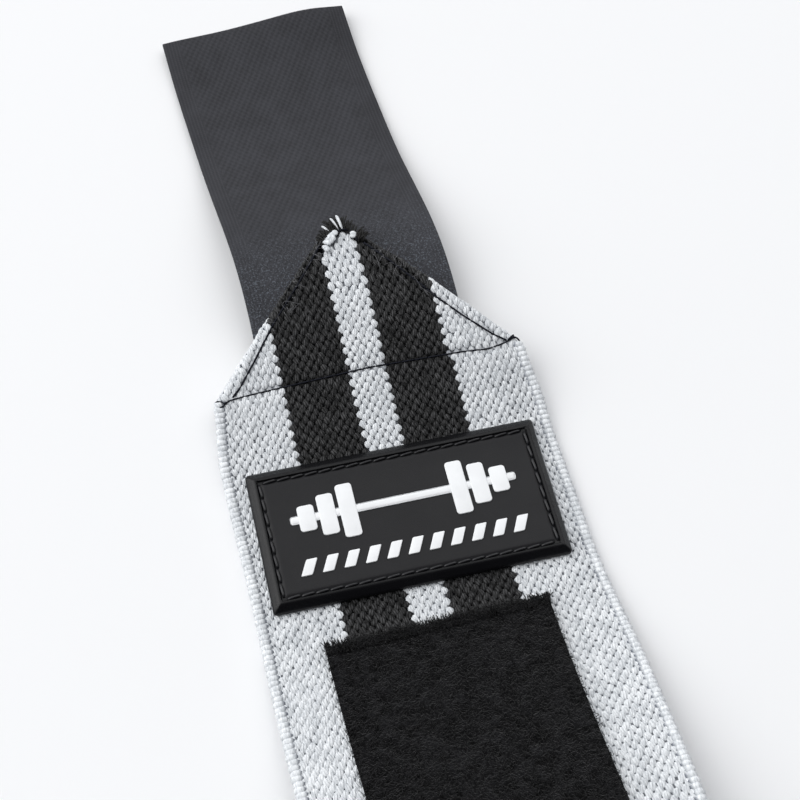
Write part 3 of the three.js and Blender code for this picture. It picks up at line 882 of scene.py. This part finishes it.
def makeFrays():
    light, dark = [], []
    for row in frays:
        t = np.linspace(0, 1, 7)
        start, end = np.array(row["from"]), np.array(row["to"])
        middle = start + (end - start) * t[:, None]
        lift = 1.3 + 0.7 * np.sin(t * 2.2) * np.hypot(*(end - start)) / 3
        thick = np.interp(t, (0, 1), row["radius"]) * np.array([0.55, 0.9, 1, 1, 1, 0.92, 0.5])
        light.append(tubeTemplate(np.column_stack([middle, lift]), thick, 7))
    count = len(scrap["x"])
    places = np.column_stack([scrap["x"], scrap["y"], np.full(count, scrap["height"])])
    sizes = scrap["size"] * (1 + 0.1 * dice.normal(0, 1, (count, 3)))
    light.append(copies(domeTemplate(), places, sizes, dice.normal(0, 0.5, count)))
    for n in range(sewing["looseEnds"]):
        x = dice.uniform(-3.6, 6.0)
        lean = 0.25 * (x - 1) + dice.normal(0, 0.8)
        start = np.interp(x, tipArc["x"], tipArc["y"]) + (1.6 if x < 0.3 else 0.2) + dice.normal(0, 0.2)
        length = dice.uniform(1.2, 4.8) * (1 - 0.09 * abs(x - 1))
        t = np.linspace(0, 1, 6)
        lift = dice.uniform(0.2, 1.1)
        path = np.stack([x + lean * t ** 1.6, start + length * t, 0.7 + lift * np.sin(t * 2.4)], 1)
        dark.append(tubeTemplate(path, dice.uniform(0.12, 0.21), 5))
    lint = []  # fine pale fibres caught on the black stripes beside the folds
    for n in range(sewing["lintFibres"]):
        side = dice.choice([-1, 1])
        share = dice.uniform(0.45, 0.95)
        x, y = cornerLine(side, np.array([share]))[0] + dice.normal(0, 1.1, 2)
        t = np.linspace(0, 1, 5)
        bend, reach = dice.normal(0, 1.0, 2), dice.normal(0, 0.9, 2)
        flat = np.array([x, y]) + np.outer(t, reach) + np.outer(t * t, bend)
        lint.append(tubeTemplate(np.column_stack([flat, 1.9 + 0.25 * np.sin(t * 3)]), 0.045, 3))
    pieces = (("tip_yarns", light, "lightKnit"), ("tip_threads", dark, "strand"), ("tip_lint", lint, "lint"))
    layOnCore = lambda flat: layOnWave(flat - [0, 0, halfCloth])
    for name, parts, finish in pieces:
        layPiece(name, parts, layOnCore, finish, "knit", rise=0.8, strand=plyHalf)


makeSeams()
makeFrays()
print("threads sewn")

# The hook strap, a woven tape with a field of small hooks on its underside
strap = {
    "cloth": 0.9,
    "bevel": 0.22,
    "step": 0.8,
    "looseFrom": 84,
    "hookPitch": 1.7,
    "hookRadius": 0.11,
    "hook": ((0, 0, 0.2), (0, 0, -0.35), (0.12, 0, -0.58), (0.38, 0, -0.55), (0.46, 0, -0.36)),
    "swell": {"x": 15.0, "width": 9.0, "height": 1.0},
    "hollow": {"x": -9.0, "width": 12.0, "height": -0.9},
}


def strapSway(x, y):  # the free end waves a little across its width
    start = strap["looseFrom"]
    near = np.clip((y - start) / (pattern["strapReach"] - start), 0, 1) ** 2
    rise = lambda row: row["height"] * np.exp(-(((x - row["x"]) / row["width"]) ** 2))
    lift = rise(strap["swell"]) + rise(strap["hollow"])
    ripple = 0.25 * np.sin(y / 9 + x / 26) * np.clip((y - 40) / 20, 0, 1)
    return near * lift + ripple


def makeStrap():
    half = pattern["strapWidth"] / 2
    top = -folded - pattern["layerGap"]
    cloth = flatGrid("strap_cloth", 2 * half, pattern["strapInset"], pattern["strapReach"], strap["step"])
    storeFlat(cloth, "tape")
    applyModifier(cloth, "SOLIDIFY", thickness=strap["cloth"], offset=-1)
    applyModifier(cloth, "BEVEL", width=strap["bevel"], segments=2, limit_method="ANGLE")
    points = pointsOf(cloth)
    points[:, 2] += top + strapSway(points[:, 0], points[:, 1])
    movePoints(cloth, layOnWave(points))
    finishPiece(cloth, "twill", 40)
    hook = tubeTemplate(strap["hook"], strap["hookRadius"])
    x, y = np.meshgrid(
        np.arange(-half + 3.4, half - 3, strap["hookPitch"]),
        np.arange(pattern["pointLength"] + 8, pattern["strapReach"] - 2, strap["hookPitch"]),
    )
    x, y = x.ravel(), y.ravel()
    z = top - strap["cloth"] + strapSway(x, y)
    count = len(x)
    turns = np.where(np.round(x / strap["hookPitch"]) % 2 == 0, 0, math.pi) + dice.normal(0, 0.15, count)
    shape = copies(hook, np.stack([x, y, z], 1), np.ones((count, 3)), turns)
    hooks = layPiece("strap_hooks", [shape], layOnWave, "hook", "hook_tape")
    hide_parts("hook_strap")
    print("strap made")


makeStrap()

# The loop panel: a backing with an uneven nap and thousands of small loops on it
panel = {
    "backing": 0.8,
    "step": 0.75,
    "nap": 0.45,
    "loops": 6000,
    "loop": ((-0.34, 0, -0.2), (-0.3, 0, 0.4), (0.12, 0, 0.7), (0.38, 0, 0.1)),
    "loopRadius": 0.07,
    "rimLoops": 900,  # those of them that stand along the sides and the near end
    "tuft": 9,  # cut thread ends at the near corner
    "fringe": 1300,  # pile that leans out over the knit at the near end
}


def makePanel():
    half = pattern["panelWidth"] / 2
    start, end = panelEnd, -pattern["panelStart"]
    base = flatGrid("panel_backing", 2 * half, start, end, panel["step"])
    applyModifier(base, "SOLIDIFY", thickness=panel["backing"], offset=-1)
    points = pointsOf(base)
    nap = bpy.data.textures.new("nap", "CLOUDS")
    nap.noise_scale = 1.2
    nap.noise_depth = 2
    raised = points[:, 2] > -0.01
    points[:, 2] += pattern["layerGap"] + panel["backing"]
    movePoints(base, points)
    group = base.vertex_groups.new(name="face")
    group.add(np.flatnonzero(raised).tolist(), 1.0, "REPLACE")
    rough = {"texture": nap, "strength": panel["nap"] * 2, "mid_level": 0.5}
    applyModifier(base, "DISPLACE", direction="Z", vertex_group="face", **rough)
    movePoints(base, layOnWave(pointsOf(base)))
    finishPiece(base, "pile", 60)
    loop = tubeTemplate(panel["loop"], panel["loopRadius"], 3)
    count = panel["loops"]
    x = dice.uniform(-half + 0.2, half - 0.2, count)
    y = dice.uniform(start + 0.2, end - 0.2, count)
    rim = panel["rimLoops"] // 2
    x[:rim] = np.sign(dice.uniform(-1, 1, rim)) * (half - dice.uniform(-0.2, 0.5, rim))
    y[rim:2 * rim] = end - dice.uniform(-0.3, 0.5, rim)
    z = np.full(count, pattern["layerGap"] + panel["backing"] - 0.1)
    sizes = dice.uniform(0.75, 1.3, (count, 3))
    turns, leans = dice.uniform(0, 2 * math.pi, count), dice.normal(0, 0.5, count)
    shape = copies(loop, np.stack([x, y, z], 1), sizes, turns, leans)
    loops = layPiece("panel_loops", [shape], layOnWave, "pile", "loop_pile")
    tuft = []
    for n in range(panel["tuft"]):
        t = np.linspace(0, 1, 5)
        lean, reach = dice.normal(0.5, 0.8), dice.uniform(0.8, 2.2)
        x = half - 1.1 + 0.12 * n + lean * t
        path = np.stack([x, end - 0.5 + reach * t, 0.9 + 0.8 * np.sin(t * 2.3)], 1)
        tuft.append(tubeTemplate(path, 0.13, 4))
    for n in range(panel["fringe"]):
        t = np.linspace(0, 1, 4)
        x = dice.uniform(-half, half)
        x = x + dice.normal(0, 0.5) * t
        y = end - dice.uniform(0.2, 2.0) + dice.uniform(0.9, 2.4) * t
        path = np.stack([x, y, 1.5 - 0.4 * t * t], 1)
        tuft.append(tubeTemplate(path, 0.1, 3))
    layPiece("panel_fringe", tuft, layOnWave, "pile", "loop_pile")
    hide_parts("loop_panel")
    print("panel made")


makePanel()

# The rubber patch: bevelled sides, a groove with stitches and a sunk field
patch = {
    "step": 0.32,
    "stitchInset": 2.86,
    "stitch": 3.3,
    "stitchHeight": 1.86,
    "stitchRadius": 0.34,
    "stitchSkew": 0.16,
    "corner": 1.0,
    "fieldInset": (3.0, 3.5),  # the matt field starts between these
}
borderRows = {  # height of the face at a distance from the edge, both in millimetres
    "inset": (0.0, 0.25, 1.5, 1.8, 2.1, 2.35, 2.5, 3.2, 3.45, 3.9),
    "height": (0.45, 0.8, 1.95, 2.13, 2.2, 2.1, 1.62, 1.6, 1.82, 1.9),
}
fieldHeight = borderRows["height"][-1]


def insetOf(x, y):  # distance inside the patch's rounded outline
    dx = np.abs(x) - pattern["patchWidth"] / 2 + patch["corner"]
    dy = np.abs(y) - pattern["patchHeight"] / 2 + patch["corner"]
    outside = np.hypot(np.maximum(dx, 0), np.maximum(dy, 0))
    return patch["corner"] - outside - np.minimum(np.maximum(dx, dy), 0)


def makePatch():
    halfX, halfY = pattern["patchWidth"] / 2, pattern["patchHeight"] / 2
    base = flatGrid("patch_rubber", 2 * halfX, -halfY, halfY, patch["step"])
    applyModifier(base, "SOLIDIFY", thickness=1, offset=-1)
    points = pointsOf(base)
    x, y = points[:, 0], points[:, 1]
    inset = insetOf(x, y)
    short = np.minimum(inset, 0)  # the corners are drawn in to their round
    points[:, 0] += short * np.sign(x) * 0.7
    points[:, 1] += short * np.sign(y) * 0.7
    face = np.interp(inset, borderRows["inset"], borderRows["height"])
    points[:, 2] = np.where(points[:, 2] > -0.5, face, 0)
    movePoints(base, layOnPatch(points))
    storeValue(base.data, "rise", np.interp(inset, patch["fieldInset"], (0, 1)))
    finishPiece(base, "blackRubber", 50)
    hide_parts("patch_base")
    w, h = halfX - patch["stitchInset"], halfY - patch["stitchInset"]
    corners = np.array([[-w, -h], [w, -h], [w, h], [-w, h], [-w, -h]])
    sizes = (patch["stitch"], patch["stitchRadius"], patch["stitchSkew"])
    parts = []
    for a, b in zip(corners[:-1], corners[1:]):
        line = a + (b - a) * np.linspace(0.012, 0.988, 40)[:, None]
        parts += stitchRow(line, patch["stitchHeight"], *sizes)
    layPiece("patch_stitches", parts, layOnPatch, "patchThread", "black_rubber")


makePatch()

# The raised emblem: a barbell over a row of slashes, all plain shapes
emblem = {
    "height": 0.6,
    "bevel": 0.14,
    "barbell": {"length": 53.0, "rise": 3.4, "bar": 2.0, "plateWidth": 3.9, "platePitch": 4.8},
    "plates": (0.12, 0.19, 0.25),
    "slash": {"count": 11, "pitch": 4.9, "width": 2.6, "height": 3.8, "lean": 1.9, "drop": 8.3},
}


def raisedBar(x, y, width, height, lean=0.0, corner=0.8, sink=0.0):  # a bar of rubber with soft corners
    bpy.ops.mesh.primitive_cube_add(size=1, location=(0, 0, 0.5))
    bar = bpy.context.object
    bar.scale = (width, height, emblem["height"])
    bpy.ops.object.transform_apply(location=True, rotation=True, scale=True)
    bpy.ops.object.mode_set(mode="EDIT")
    bpy.ops.mesh.select_all(action="DESELECT")
    bpy.ops.object.mode_set(mode="OBJECT")
    for edge in bar.data.edges:
        a, b = (bar.data.vertices[v].co for v in edge.vertices)
        edge.select = abs(a.z - b.z) > 0.1
    bpy.ops.object.mode_set(mode="EDIT")
    bpy.ops.mesh.select_mode(type="EDGE")
    bpy.ops.mesh.bevel(offset=corner, segments=4, affect="EDGES")
    bpy.ops.object.mode_set(mode="OBJECT")
    points = pointsOf(bar)
    points[:, 2] += fieldHeight - 0.25 - sink - points[:, 2].min()
    points[:, 0] += x + lean * points[:, 1] / height
    points[:, 1] += y
    movePoints(bar, points)
    return bar


def makeEmblem():
    b, s = emblem["barbell"], emblem["slash"]
    bars = [raisedBar(0, b["rise"], b["length"], b["bar"], corner=0.6, sink=0.07)]
    for n, share in enumerate(emblem["plates"]):
        out = b["length"] / 2 - b["plateWidth"] - n * b["platePitch"]
        for x in (-out, out):
            bars.append(raisedBar(x, b["rise"], b["plateWidth"], share * b["length"]))
    activate(bars[0])
    for other in bars[1:]:
        other.select_set(True)
    bpy.ops.object.join()
    pieces = [("barbell", bars[0], ["emblem_barbell"])]
    for n in range(s["count"]):
        x = (n - (s["count"] - 1) / 2) * s["pitch"]
        bar = raisedBar(x, -s["drop"], s["width"], s["height"], s["lean"], 0.3)
        pieces.append((f"slash_{n + 1:02d}", bar, [f"emblem_slash_{n + 1:02d}"]))
    for name, obj, nodes in pieces:
        obj.name = obj.data.name = name
        corners = {"limit_method": "ANGLE", "angle_limit": math.radians(50)}
        applyModifier(obj, "BEVEL", width=emblem["bevel"], segments=3, **corners)
        movePoints(obj, layOnPatch(pointsOf(obj)))
        finishPiece(obj, "whiteRubber", 40)
        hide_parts(*nodes)


makeEmblem()
print("patch and emblem made")

# The thumb loop, a tape sewn under the hem by its two tails
def loopPath():
    table = -lowest["tails"]
    low = table + pattern["tapeThickness"] / 2
    back = low + pattern["tapeThickness"] + pattern["tailGap"]
    radius = (pattern["loopHeight"] - pattern["tapeThickness"]) / 2
    hem = -pattern["bandLength"]
    middle = np.array([hem - pattern["loopReach"] + radius + pattern["tapeThickness"] / 2, low + radius])
    angles = np.radians(np.linspace(270, 90, 25))
    bend = middle + radius * np.stack([np.cos(angles), np.sin(angles)], 1)
    top = bend[-1]
    reach = hem - middle[0]
    guide = np.array([top, [middle[0] + reach / 2, top[1]], [middle[0] + 0.55 * reach, back], [hem, back]])
    t = np.linspace(0, 1, 24)[:, None]
    home = sum(math.comb(3, k) * t ** k * (1 - t) ** (3 - k) * guide[k] for k in range(4))
    out = np.linspace([hem + pattern["tailLength"], low], [middle[0], low], 20)
    return np.concatenate([out, bend[1:-1], home, [[hem + pattern["tailLength"], back]]])


def makeThumbLoop():
    path = loopPath()
    length = lengthsAlong(path)
    tape = flatGrid("thumb_tape", pattern["tapeWidth"], 0, length[-1], 0.6)
    storeFlat(tape, "tape")
    applyModifier(tape, "SOLIDIFY", thickness=pattern["tapeThickness"] * 0.85, offset=0)
    applyModifier(tape, "BEVEL", width=0.25, segments=2, limit_method="ANGLE")
    points = pointsOf(tape)
    along, height = points[:, 1].copy(), points[:, 2].copy()
    ahead = unit(np.gradient(path, length, axis=0))
    place = [np.interp(along, length, path[:, k]) for k in (0, 1)]
    face = [np.interp(along, length, ahead[:, k]) for k in (0, 1)]
    points[:, 1] = place[0] + face[1] * height
    points[:, 2] = place[1] - face[0] * height
    movePoints(tape, layOnWave(points))
    finishPiece(tape, "elastic", 40)
    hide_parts("thumb_loop")


makeThumbLoop()
print("thumb loop made")

bpy.context.view_layer.update()
